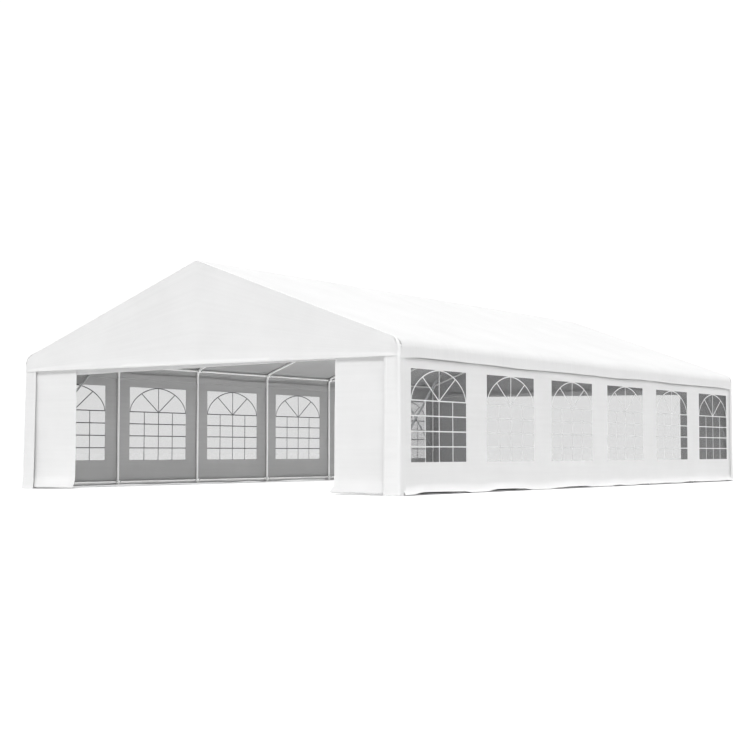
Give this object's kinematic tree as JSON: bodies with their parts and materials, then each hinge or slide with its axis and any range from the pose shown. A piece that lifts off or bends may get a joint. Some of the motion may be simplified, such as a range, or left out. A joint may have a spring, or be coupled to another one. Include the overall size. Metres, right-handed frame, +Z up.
{
  "type": "carport tent",
  "caption": "Long white pitched-roof shelter tent of fabric over tube portals, open doorways between door panels at both ends, arched printed windows along both side walls.",
  "frame": {"origin": "middle of the footprint, on the ground", "axes": "+X across the front to the right seen from outside, +Y from the front gable to the rear gable, +Z up"},
  "size_m": [7.0366, 12, 3.3181],
  "materials": {
    "steel_tube": "white powder coat on round steel tube",
    "cover_fabric": "white coated woven fabric, satin",
    "window_film": "soft clear film with white printed bars"
  },
  "bodies": {
    "root": {"post_left_1": "steel_tube", "post_left_2": "steel_tube", "post_left_3": "steel_tube", "post_left_4": "steel_tube", "post_left_5": "steel_tube", "post_left_6": "steel_tube", "post_left_7": "steel_tube", "post_right_1": "steel_tube", "post_right_2": "steel_tube", "post_right_3": "steel_tube", "post_right_4": "steel_tube", "post_right_5": "steel_tube", "post_right_6": "steel_tube", "post_right_7": "steel_tube", "roof_frame_1": "steel_tube", "roof_frame_2": "steel_tube", "roof_frame_3": "steel_tube", "roof_frame_4": "steel_tube", "roof_frame_5": "steel_tube", "roof_frame_6": "steel_tube", "roof_frame_7": "steel_tube", "ridge_purlin": "steel_tube", "mid_purlin_left": "steel_tube", "mid_purlin_right": "steel_tube", "eave_rail_left": "steel_tube", "eave_rail_right": "steel_tube", "base_rail_left": "steel_tube", "base_rail_right": "steel_tube", "front_header": "steel_tube", "rear_header": "steel_tube", "brace_front_left": "steel_tube", "brace_front_right": "steel_tube", "brace_rear_left": "steel_tube", "brace_rear_right": "steel_tube", "roof_cover": "cover_fabric", "front_gable": "cover_fabric", "rear_gable": "cover_fabric", "left_wall": "cover_fabric", "right_wall": "cover_fabric", "leg_front_left": "cover_fabric", "leg_front_right": "cover_fabric", "leg_rear_left": "cover_fabric", "leg_rear_right": "cover_fabric", "door_front_left": "cover_fabric", "door_front_right": "cover_fabric", "door_rear_left": "cover_fabric", "door_rear_right": "cover_fabric", "window_left_1": "window_film", "window_left_2": "window_film", "window_left_3": "window_film", "window_left_4": "window_film", "window_left_5": "window_film", "window_left_6": "window_film", "window_right_1": "window_film", "window_right_2": "window_film", "window_right_3": "window_film", "window_right_4": "window_film", "window_right_5": "window_film", "window_right_6": "window_film"}
  },
  "joints": []
}
